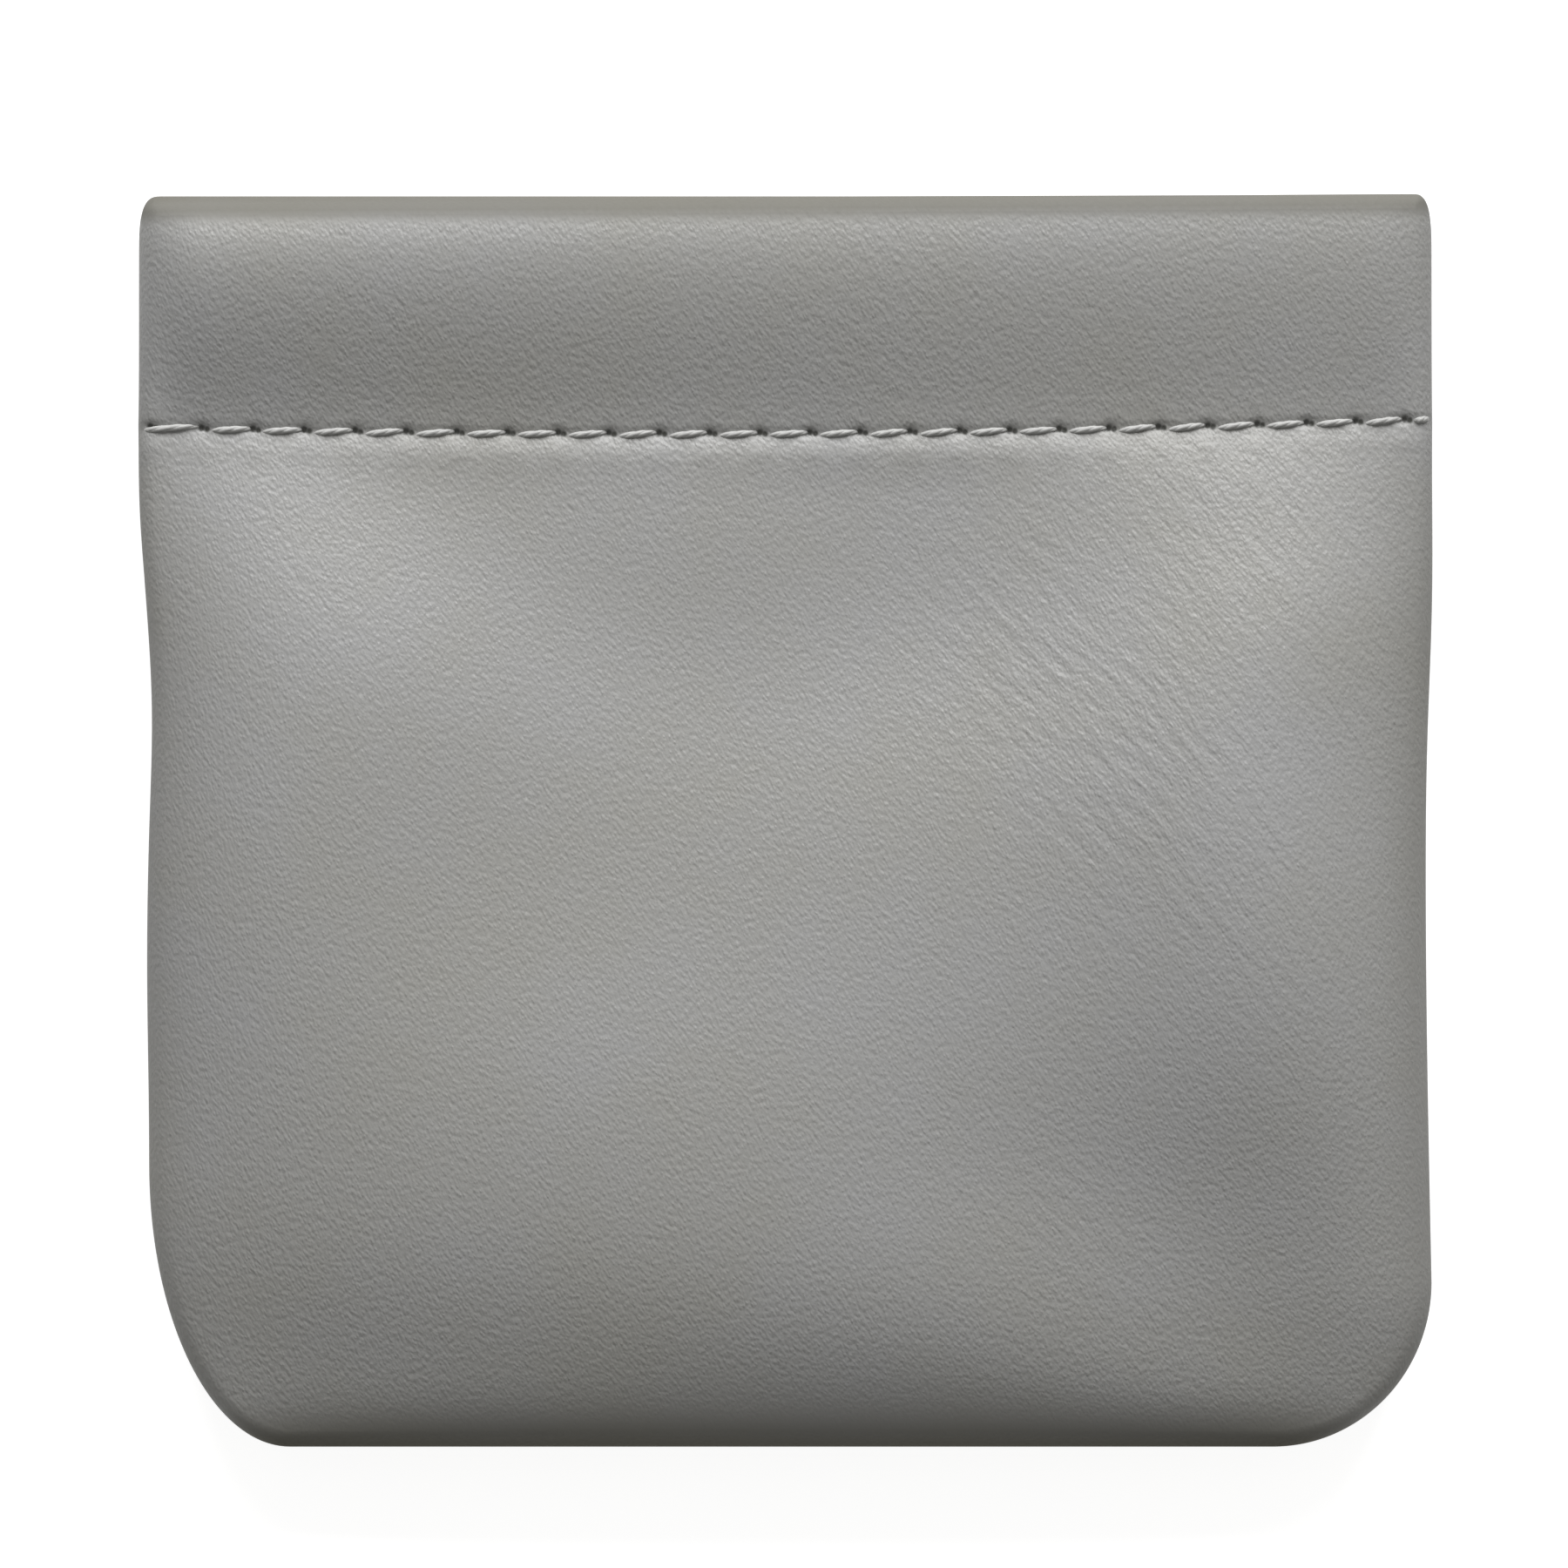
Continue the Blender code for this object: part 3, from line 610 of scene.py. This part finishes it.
LEATHER_LOOK = leather_look()
back_leather = leather_panel("back_leather", -1, 2.0, back_swell)
back_leather.data.materials.append(LEATHER_LOOK)
stay_flat(back_leather, "back_leather_panel")

front_leather = leather_panel("front_leather", 1, 1.0, front_swell)
front_leather.data.materials.append(LEATHER_LOOK)
for part in left_and_right(front_leather, "front_leather"):
    bow_open(part, "front_leather_panel")


# Linings, front and back.
# Thin dark polyester cloth in plain weave, caught in the seams and under the hem. It hangs a little
# slack inside the wall, with soft wrinkles.

LINING = 0.4 * MM
CLEARANCE = 0.3 * MM
LINING_DEPTH = LEATHER + CLEARANCE
LINING_INSET = 2.8 * MM
LINING_COARSENESS = 2.4
LINING_SLACK = 0.12 * MM
WRINKLE_LENGTH = 3.1 * MM
WRINKLE_BEND = 9.0 * MM
ROOM_FOR_SLACK = 2.0 * MM
WEAVE_PITCH = 0.42 * MM
WEAVE_DEPTH = 0.03 * MM
LINING_SHADED_HOLLOWS = (0.055, 0.055, 0.056)
LINING_CREST = (0.105, 0.105, 0.107)


def lining_look():
    """Plain weave: threads across and along that pass over each other in turn."""
    made, tree, shader = new_material("dark_lining_cloth")
    place = kept_value(tree, "cut_place")
    axes = node(tree, "ShaderNodeSeparateXYZ", [(place, "Vector")])
    waves = []
    for axis in ("X", "Y"):
        turn = worked_out(tree, "MULTIPLY", axes.outputs[axis], pi / WEAVE_PITCH)
        waves.append(worked_out(tree, "SINE", turn))
    over = worked_out(tree, "MULTIPLY", *waves)
    slub = node(tree, "ShaderNodeTexNoise", [(place, "Vector")], Scale=1600.0, Detail=3.0).outputs["Fac"]
    height = worked_out(tree, "ADD", over, slub)
    bump = node(tree, "ShaderNodeBump", [(height, "Height")], Strength=1.0, Distance=WEAVE_DEPTH)
    tree.links.new(bump.outputs["Normal"], shader.inputs["Normal"])
    # Painted shade: the cloth is darker in the weave's hollows than on its crests
    tint = tinted(tree, over, 0.0, LINING_SHADED_HOLLOWS, 0.8, LINING_CREST)
    tree.links.new(tint, shader.inputs["Base Color"])
    tree.links.new(ranged(tree, slub, 0.72, 0.9), shader.inputs["Roughness"])
    return made


def lining(name, facing, swell):
    """The cloth follows the wall at its own depth, from the bottom seam up to the hem's stitches."""
    plane, _, _ = panel_plane(LINING_COARSENESS, LINING_INSET)
    plane = plane[: int(np.searchsorted(plane[:, 0, 1], STITCH_Y)) + 1]
    x, y = plane[..., 0].ravel(), plane[..., 1].ravel()
    wrinkles = LINING_SLACK * np.sin(x / WRINKLE_LENGTH + 2 * np.sin(y / WRINKLE_BEND))
    slack = wrinkles * np.clip(swell(x, y) / ROOM_FOR_SLACK, 0, 1)
    rise = EDGE_RISE + swell(x, y) - LINING_DEPTH - LINING_SLACK + slack
    points = np.stack([x, y - sag_at(x, y), SEAM_Z + facing * rise], 1)
    faces, _ = grid_numbers(*plane.shape[:2])
    cut_place = np.stack([x, y, np.zeros(len(x))], 1)
    return cloth_or_leather(name, points, faces, facing, LINING, cut_place=cut_place)


LINING_LOOK = lining_look()
back_lining = lining("back_lining_cloth", -1, back_swell)
back_lining.data.materials.append(LINING_LOOK)
stay_flat(back_lining, "back_lining")

front_lining = lining("front_lining_cloth", 1, front_swell)
front_lining.data.materials.append(LINING_LOOK)
for part in left_and_right(front_lining, "front_lining_cloth"):
    bow_open(part, "front_lining")


# Spring strips, front and back.
# Each is a length of spring steel 0.25 mm thick, arched across its width as a tape measure's blade is,
# with its ends cut round. It lies loose in its hem and holds the mouth shut.

STRIP_THICKNESS = 0.25 * MM
STRIP_ARCH = 1.55 * MM
STRIP_WIDTH = 13.0 * MM
STRIP_LENGTH = 96.0 * MM
STRIP_Y = 43.9 * MM
STRIP_RISE = INNER_FACE + LEATHER + CLEARANCE + STRIP_THICKNESS
STEEL_BLUE = (0.56, 0.57, 0.58)
STEEL_STRAW = (0.64, 0.60, 0.52)

# The drum's sides, the cuts across the strip, at which it can bow, and the cuts that round an end
DRUM_SIDES = 180
CROSS_CUTS, CROSS_CUT_SHARE = 24, 0.46
END_CUTS, END_TURN = 17, 80
SAME_PLACE = 0.002 * MM


def steel_look():
    """Rolled spring steel with fine lines along its length and a faint straw tint from tempering."""
    made, tree, shader = new_material("tempered_spring_steel")
    shader.inputs["Metallic"].default_value = 1.0
    place = node(tree, "ShaderNodeTexCoord").outputs["Object"]
    drawn = node(tree, "ShaderNodeMapping", [(place, "Vector")], Scale=(0.02, 1.0, 1.0)).outputs["Vector"]
    lines = node(tree, "ShaderNodeTexNoise", [(drawn, "Vector")], Scale=4200.0, Detail=4.0).outputs["Fac"]
    bump = node(tree, "ShaderNodeBump", [(lines, "Height")], Strength=0.5, Distance=0.01 * MM)
    tree.links.new(bump.outputs["Normal"], shader.inputs["Normal"])
    temper = node(tree, "ShaderNodeTexNoise", [(place, "Vector")], Scale=60.0, Detail=2.0).outputs["Fac"]
    tint = tinted(tree, temper, 0.0, STEEL_BLUE, 1.0, STEEL_STRAW)
    tree.links.new(tint, shader.inputs["Base Color"])
    tree.links.new(ranged(tree, lines, 0.24, 0.42), shader.inputs["Roughness"])
    return made


def spring_strip(name, facing):
    """A slice as wide as the strip is cut off a long drum. It gets round ends and then its thickness."""
    drum = ((STRIP_WIDTH / 2) ** 2 + STRIP_ARCH**2) / (2 * STRIP_ARCH)
    middle = (0, STRIP_Y, SEAM_Z + facing * (STRIP_RISE + STRIP_ARCH - drum))
    lying = {"location": middle, "rotation": (0, pi / 2, 0)}
    select_alone()
    bpy.ops.mesh.primitive_cylinder_add(
        vertices=DRUM_SIDES, radius=drum, depth=STRIP_LENGTH, end_fill_type="NOTHING", **lying
    )
    strip = bpy.context.object
    strip.name = strip.data.name = name
    bpy.ops.object.transform_apply(location=True, rotation=True, scale=True)
    bpy.ops.object.mode_set(mode="EDIT")
    floor_level = (0, 0, SEAM_Z + facing * STRIP_RISE)
    bpy.ops.mesh.select_all(action="SELECT")
    bpy.ops.mesh.bisect(plane_co=floor_level, plane_no=(0, 0, facing), clear_inner=True)
    for crossing in np.linspace(-CROSS_CUT_SHARE, CROSS_CUT_SHARE, CROSS_CUTS):
        bpy.ops.mesh.select_all(action="SELECT")
        bpy.ops.mesh.bisect(plane_co=(crossing * STRIP_LENGTH, 0, 0), plane_no=(1, 0, 0))
    for end in (-1, 1):
        centre = Vector((end * (STRIP_LENGTH / 2 - STRIP_WIDTH / 2), STRIP_Y, 0))
        for turn in np.linspace(-END_TURN, END_TURN, END_CUTS):
            out = Vector((end * cos(radians(turn)), sin(radians(turn)), 0))
            bpy.ops.mesh.select_all(action="SELECT")
            bpy.ops.mesh.bisect(plane_co=centre + out * STRIP_WIDTH / 2, plane_no=out, clear_outer=True)
    bpy.ops.mesh.select_all(action="SELECT")
    bpy.ops.mesh.remove_doubles(threshold=SAME_PLACE)
    bpy.ops.object.mode_set(mode="OBJECT")
    shell = strip.modifiers.new("thickness", "SOLIDIFY")
    shell.thickness = STRIP_THICKNESS
    shell.offset = -1.0
    apply_modifiers(strip)
    bpy.ops.object.shade_smooth_by_angle(angle=radians(40))
    strip.data.materials.append(STEEL_LOOK)
    return strip


STEEL_LOOK = steel_look()
stay_flat(spring_strip("back_steel_strip", -1), "back_spring_strip")
for part in left_and_right(spring_strip("front_steel_strip", 1), "front_steel_strip"):
    bow_open(part, "front_spring_strip")


# Sewing threads, polyester. The hem's needle thread is heavy, pale and three-ply, in one long stitch from
# hole to hole, each pulled slantwise into its furrow. A thin bobbin thread locks it inside, and the seams
# are sewn with two threads that are between these two in thickness.

NEEDLE_THREAD = 0.58 * MM
NEEDLE_LENGTH = 3.4 * MM
NEEDLE_SLANT = radians(6)
NEEDLE_SLANT_VARIES, NEEDLE_SLANT_RHYTHM = 0.25, 5.1
NEEDLE_RISE = EDGE_RISE - 0.08 * MM
PLY_SHARE = 0.74
BOBBIN_THREAD = 0.3 * MM
BOBBIN_LENGTH = 4.0 * MM
BOBBIN_RISE = 0.3 * MM
SEAM_THREAD = 0.4 * MM
SEAM_THREAD_INSET = 2.2 * MM
SEAM_THREAD_RISE = INNER_FACE + LEATHER + CLEARANCE + SEAM_THREAD / 2
SEAM_STITCH = 3.0 * MM
SEAM_STITCH_SHARE = 0.92
SEAM_COARSENESS = 4.0
ROWS_OVER_SEAM = 3
ROLL_SHARE = 0.98
LOOK_AHEAD = 0.5 * MM

# The hem's row: its outer holes, its two ends at the side seams, where a stitch ends before a hole and
# where the next starts past it, how far the thread lies above the furrow's middle, and where the
# stitches of the front's left part end and those of its right part start
FIRST_HOLE, LAST_HOLE = -12, 12
ROW_START, ROW_END = -54.7 * MM, 54.9 * MM
BEFORE_HOLE, PAST_HOLE, PAST_LAST_HOLE = 0.12 * MM, 0.74 * MM, 0.78 * MM
ROW_LIFT = 0.04 * MM
PARTING_X = 0.5 * MM

THREAD_LINES = (0.2, 1.0, 1.0)
THREAD_GREY = (0.36, 0.36, 0.355)
THREAD_PALE = (0.46, 0.46, 0.45)


def thread_look():
    """Bonded polyester thread: pale grey, with fibres that lie along each ply and a soft shine."""
    made, tree, shader = new_material("pale_sewing_thread")
    place = [(node(tree, "ShaderNodeTexCoord").outputs["Object"], "Vector")]
    drawn = node(tree, "ShaderNodeMapping", place, Rotation=(0, 0, radians(-20)), Scale=THREAD_LINES)
    along = [(drawn.outputs["Vector"], "Vector")]
    fibre = node(tree, "ShaderNodeTexNoise", along, Scale=9000.0, Detail=2.0).outputs["Fac"]
    bump = node(tree, "ShaderNodeBump", [(fibre, "Height")], Strength=0.7, Distance=0.03 * MM)
    tree.links.new(bump.outputs["Normal"], shader.inputs["Normal"])
    tint = tinted(tree, fibre, 0.3, THREAD_GREY, 0.7, THREAD_PALE)
    tree.links.new(tint, shader.inputs["Base Color"])
    tree.links.new(ranged(tree, fibre, 0.48, 0.62), shader.inputs["Roughness"])
    return made


def one_stitch(name, thickness, length, plies, steps, sides, dive, turns):
    """Round ends are drawn out step by step along the stitch, each step turned, sized and lowered."""
    ply = thickness * (PLY_SHARE if plies > 1 else 1.0)
    off = (thickness - ply) / 2 if plies > 1 else 0.0
    select_alone()
    rounds = []
    for number in range(plies):
        turn = 2 * pi * number / plies
        upright = {"location": (-length / 2, off * cos(turn), off * sin(turn)), "rotation": (0, pi / 2, 0)}
        bpy.ops.mesh.primitive_circle_add(vertices=sides, radius=ply / 2, fill_type="NGON", **upright)
        rounds.append(bpy.context.object)
    select_alone(*rounds)
    bpy.ops.object.join()
    stitch = bpy.context.object
    stitch.name = stitch.data.name = name
    bpy.ops.object.transform_apply(location=True, rotation=True, scale=True)
    bpy.ops.object.mode_set(mode="EDIT")
    bpy.ops.mesh.select_mode(type="FACE")
    bpy.ops.mesh.select_all(action="SELECT")

    # A stitch is half as thick at its ends, where it goes down into the leather
    def fullness(share):
        return 0.5 + 0.5 * sin(pi * share) ** 0.4 if 0 < share < 1 else 0.5

    def level(share):
        return dive * (sin(pi * share) ** 0.5 - 1) if 0 < share < 1 else -dive

    first = (-length / 2, 0, 0)
    bpy.ops.transform.resize(value=(1, fullness(0), fullness(0)), center_override=first)
    bpy.ops.transform.translate(value=(0, 0, level(0)))
    for step in range(1, steps + 1):
        now, before = step / steps, (step - 1) / steps
        sink = level(now) - level(before)
        bpy.ops.mesh.extrude_region_move(TRANSFORM_OT_translate={"value": (length / steps, 0, sink)})
        middle = (length * (now - 0.5), 0, level(now))
        size = fullness(now) / fullness(before)
        bpy.ops.transform.resize(value=(1, size, size), center_override=middle)
        if turns:
            bpy.ops.transform.rotate(value=2 * pi * turns / steps, orient_axis="X", center_override=middle)
    bpy.ops.mesh.select_all(action="SELECT")
    bpy.ops.mesh.normals_make_consistent(inside=False)
    bpy.ops.object.mode_set(mode="OBJECT")
    bpy.ops.object.shade_smooth_by_angle(angle=radians(60))
    stitch.data.materials.append(THREAD_LOOK)
    return stitch


def sewn_row(name, stitch, places, facing):
    """Copies of a stitch at (x, y, z, turn, stretch) places, each with its own mesh, made one piece."""
    copies = []
    for x, y, z, turn, stretch in places:
        copy = stitch.copy()
        copy.data = stitch.data.copy()
        copy.location = (x, y, z)
        copy.rotation_euler = (pi if facing < 0 else 0.0, 0.0, turn)
        copy.scale = (stretch, 1.0, 1.0)
        bpy.context.scene.collection.objects.link(copy)
        copies.append(copy)
    select_alone(*copies)
    bpy.context.view_layer.objects.active = copies[0]
    bpy.ops.object.join()
    row = bpy.context.object
    row.name = row.data.name = name
    bpy.ops.object.transform_apply(location=True, rotation=True, scale=True)

    # The ends of the row bend down over the rolls of the side seams, short of where a roll stands upright
    for point in row.data.vertices:
        past = min(max(abs(point.co.x) - HALF_WIDTH + FOLD_RADIUS, 0.0), ROLL_SHARE * FOLD_RADIUS)
        point.co.z -= facing * (FOLD_RADIUS - (FOLD_RADIUS**2 - past**2) ** 0.5)
    return row


def row_place(start, end, facing, rise, slant, length):
    """The middle of a stitch between two ends along the hem, which follows the row's sag, with its turn."""
    x = (start + end) / 2
    y = STITCH_Y - float(sag_at(np.float64(x), np.float64(STITCH_Y)))
    slope = 2 * STITCH_SAG * x / HALF_WIDTH**2 + HEM_TILT
    return x, y + ROW_LIFT, SEAM_Z + facing * rise, slope + slant, (end - start) / length


def needle_places(facing):
    """From just past each hole to the next one. The row's two ends run off round the side seams."""
    ends = [(ROW_START, hole_at(FIRST_HOLE) - BEFORE_HOLE)]
    for number in range(FIRST_HOLE + 1, LAST_HOLE + 1):
        ends.append((hole_at(number - 1) + PAST_HOLE, hole_at(number) - BEFORE_HOLE))
    ends.append((hole_at(LAST_HOLE) + PAST_LAST_HOLE, ROW_END))
    places = []
    for number, (start, end) in enumerate(ends):
        slant = NEEDLE_SLANT * (1 + NEEDLE_SLANT_VARIES * sin(NEEDLE_SLANT_RHYTHM * number))
        places.append(row_place(start, end, facing, NEEDLE_RISE, slant, NEEDLE_LENGTH))
    return places


def bobbin_places(facing):
    """The lower thread runs inside the mouth, in stitches from each hole nearly to the next one."""
    starts = [hole_at(number) for number in range(FIRST_HOLE, LAST_HOLE)]
    stitch = (facing, BOBBIN_RISE, 0.0, BOBBIN_LENGTH)
    return [row_place(start, start + BOBBIN_LENGTH, *stitch) for start in starts]


def seam_places(facing):
    """The middles of the seam's stitches, down one side, along the bottom and up the other."""
    (left, left_inward), (right, right_inward) = panel_rows(SEAM_COARSENESS)
    left, right = left + left_inward * SEAM_THREAD_INSET, right + right_inward * SEAM_THREAD_INSET
    line = np.concatenate([left[:-ROWS_OVER_SEAM][::-1], right[:-ROWS_OVER_SEAM]])
    along = np.concatenate([[0], np.cumsum(np.hypot(*np.diff(line, axis=0).T))])
    count = int(along[-1] / SEAM_STITCH)
    places = []
    for start in (np.arange(count) + 0.5) * along[-1] / count:
        x, y = (np.interp(start, along, line[:, axis]) for axis in (0, 1))
        ahead_x, ahead_y = (np.interp(start + LOOK_AHEAD, along, line[:, axis]) for axis in (0, 1))
        turn = float(np.arctan2(ahead_y - y, ahead_x - x))
        places.append((float(x), float(y), SEAM_Z + facing * SEAM_THREAD_RISE, turn, 1.0))
    return places


THREAD_LOOK = thread_look()
needle_stitch = one_stitch(
    "needle_stitch", NEEDLE_THREAD, NEEDLE_LENGTH, plies=3, steps=24, sides=8, dive=0.42 * MM, turns=1.0
)
bobbin_stitch = one_stitch(
    "bobbin_stitch", BOBBIN_THREAD, BOBBIN_LENGTH, plies=1, steps=8, sides=6, dive=-0.12 * MM, turns=0.0
)
seam_length = SEAM_STITCH * SEAM_STITCH_SHARE
seam_stitch = one_stitch(
    "seam_stitch", SEAM_THREAD, seam_length, plies=1, steps=6, sides=6, dive=0.1 * MM, turns=0.0
)

rows = (
    ("hem_needle_thread", needle_stitch, needle_places),
    ("hem_bobbin_thread", bobbin_stitch, bobbin_places),
    ("seam_thread", seam_stitch, seam_places),
)
for cad_name, stitch, places_of in rows:
    row = sewn_row("back_" + cad_name + "_stitches", stitch, places_of(-1), -1)
    stay_flat(row, "back_" + cad_name)
    for word in ("left", "right"):
        own = [place for place in places_of(1) if (place[0] < PARTING_X) == (word == "left")]
        row = sewn_row("front_" + cad_name + "_" + word, stitch, own, 1)
        bow_open(row, "front_" + cad_name)
    bpy.data.objects.remove(stitch, do_unlink=True)


# Table, light and camera.
# The pouch lies on white paper under one broad soft light beyond its mouth, with a low even fill, and
# is seen straight from above.

TABLE_SIZE = 6.0
PAPER_GLOW = 0.87


def seen_directly(tree):
    """1 for what the camera sees, straight, mirrored or through something, and 0 for light on things."""
    rays = node(tree, "ShaderNodeLightPath")
    first = worked_out(tree, "MAXIMUM", rays.outputs["Is Camera Ray"], rays.outputs["Is Glossy Ray"])
    return worked_out(tree, "MAXIMUM", first, rays.outputs["Is Transmission Ray"])


bpy.ops.mesh.primitive_plane_add(size=TABLE_SIZE, location=(0, 0, 0))
table_top = bpy.context.object
table_top.name = "table_top"
paper, paper_tree, paper_shader = new_material("white_paper")
paper_shader.inputs["Base Color"].default_value = (0.50, 0.50, 0.50, 1.0)
paper_shader.inputs["Roughness"].default_value = 0.9
paper_shader.inputs["Emission Color"].default_value = (1.0, 1.0, 1.0, 1.0)
glow = worked_out(paper_tree, "MULTIPLY", seen_directly(paper_tree), PAPER_GLOW)
paper_tree.links.new(glow, paper_shader.inputs["Emission Strength"])
table_top.data.materials.append(paper)

FILL = 0.233
FILL_COLOUR = (1.0, 0.99, 0.94, 1.0)
world = bpy.data.worlds.new("studio")
bpy.context.scene.world = world
world.use_nodes = True
sky = world.node_tree
fill = sky.nodes["Background"]
fill.inputs["Color"].default_value = FILL_COLOUR
fill.inputs["Strength"].default_value = FILL
white = node(sky, "ShaderNodeBackground", Strength=1.0)
backgrounds = [(seen_directly(sky), 0), (fill.outputs["Background"], 1), (white.outputs["Background"], 2)]
shown = node(sky, "ShaderNodeMixShader", backgrounds)
sky.links.new(shown.outputs["Shader"], sky.nodes["World Output"].inputs["Surface"])

KEY_DISTANCE = 1.6
KEY_HEIGHT = radians(29)
KEY_TURN = radians(4)
KEY_WIDTH = 1.28
KEY_DEPTH = 0.88
KEY_WATTS = 39.6
aim = Vector((sin(KEY_TURN) * cos(KEY_HEIGHT), cos(KEY_TURN) * cos(KEY_HEIGHT), sin(KEY_HEIGHT)))
bpy.ops.object.light_add(type="AREA", location=aim * KEY_DISTANCE)
key = bpy.context.object
key.name = "broad_light"
key.data.shape = "RECTANGLE"
key.data.size = KEY_WIDTH
key.data.size_y = KEY_DEPTH
key.data.energy = KEY_WATTS
key.rotation_euler = (-aim).to_track_quat("-Z", "Y").to_euler()
key.visible_camera = False

PICTURE_WIDTH = 133.15 * MM
PICTURE_MIDDLE = (-0.11 * MM, 3.19 * MM)
bpy.ops.object.camera_add()
camera = bpy.context.object
camera.data.sensor_width = 36.0
camera.data.lens = 200.0
distance = PICTURE_WIDTH * camera.data.lens / camera.data.sensor_width
camera.location = (*PICTURE_MIDDLE, SEAM_Z + EDGE_RISE + distance)
camera.data.clip_start = 0.05
camera.data.clip_end = 20.0
bpy.context.scene.camera = camera
bpy.context.scene.view_settings.view_transform = "Standard"
